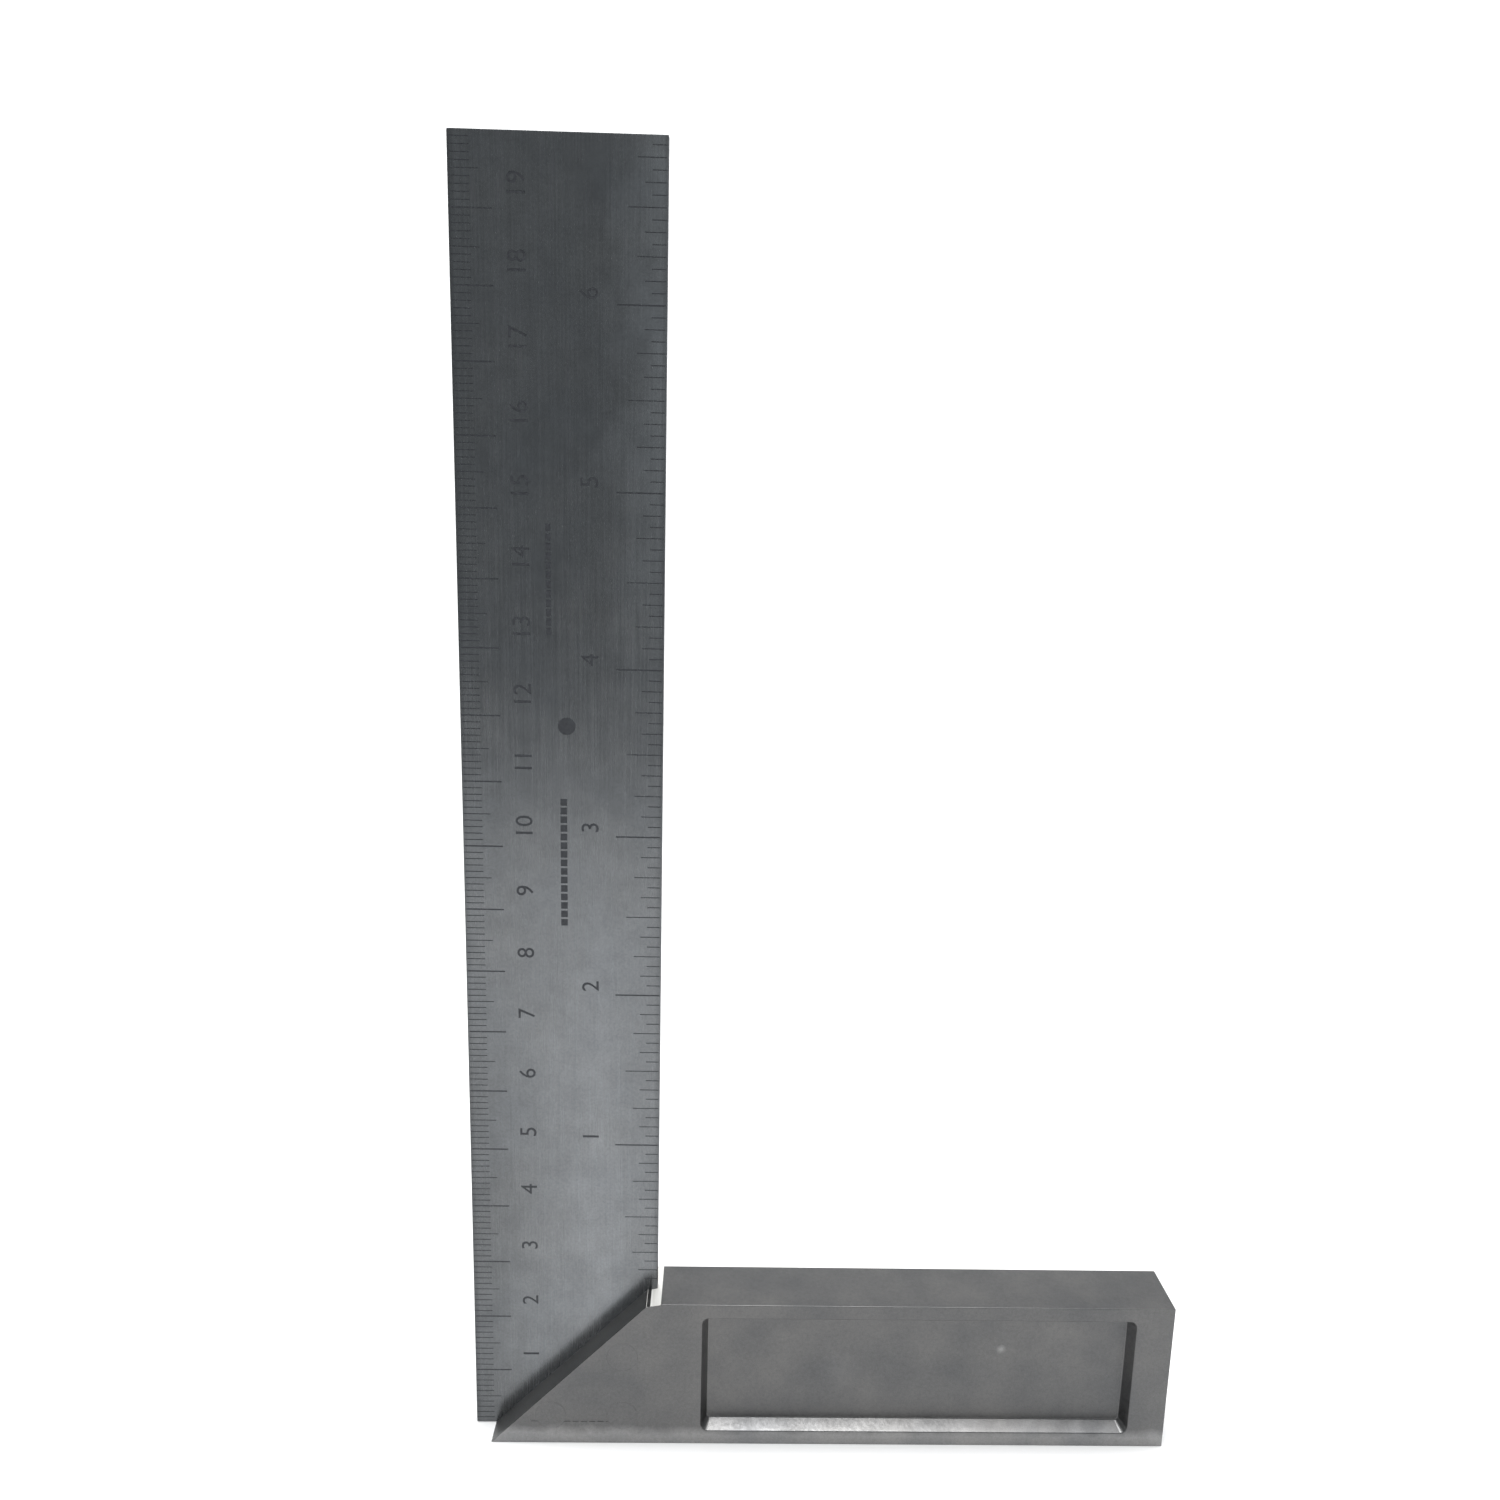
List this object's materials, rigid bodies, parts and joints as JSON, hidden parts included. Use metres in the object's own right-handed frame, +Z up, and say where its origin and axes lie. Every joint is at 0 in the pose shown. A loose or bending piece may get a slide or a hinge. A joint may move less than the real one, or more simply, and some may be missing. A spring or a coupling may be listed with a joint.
{
  "type": "try and mitre square",
  "caption": "Graduated steel blade riveted at a right angle into a recessed alloy stock with a mitred heel, for marking and checking square and 45 degree lines.",
  "frame": {"origin": "middle of the outer face of the stock, on which the square stands", "axes": "+Z up the blade, +X along the stock away from the blade, +Y through the thickness away from the graduated face"},
  "size_m": [0.114, 0.01, 0.2],
  "materials": {
    "blade_steel": "satin, ground lengthways",
    "scale_marks": "matt black etch",
    "stock_alloy": "fine satin cast",
    "rivet_alloy": "dressed flush"
  },
  "bodies": {
    "root": {"blade": "blade_steel", "stock": "stock_alloy", "rivet_heel": "rivet_alloy", "rivet_toe": "rivet_alloy", "rivet_throat": "rivet_alloy"}
  },
  "joints": []
}
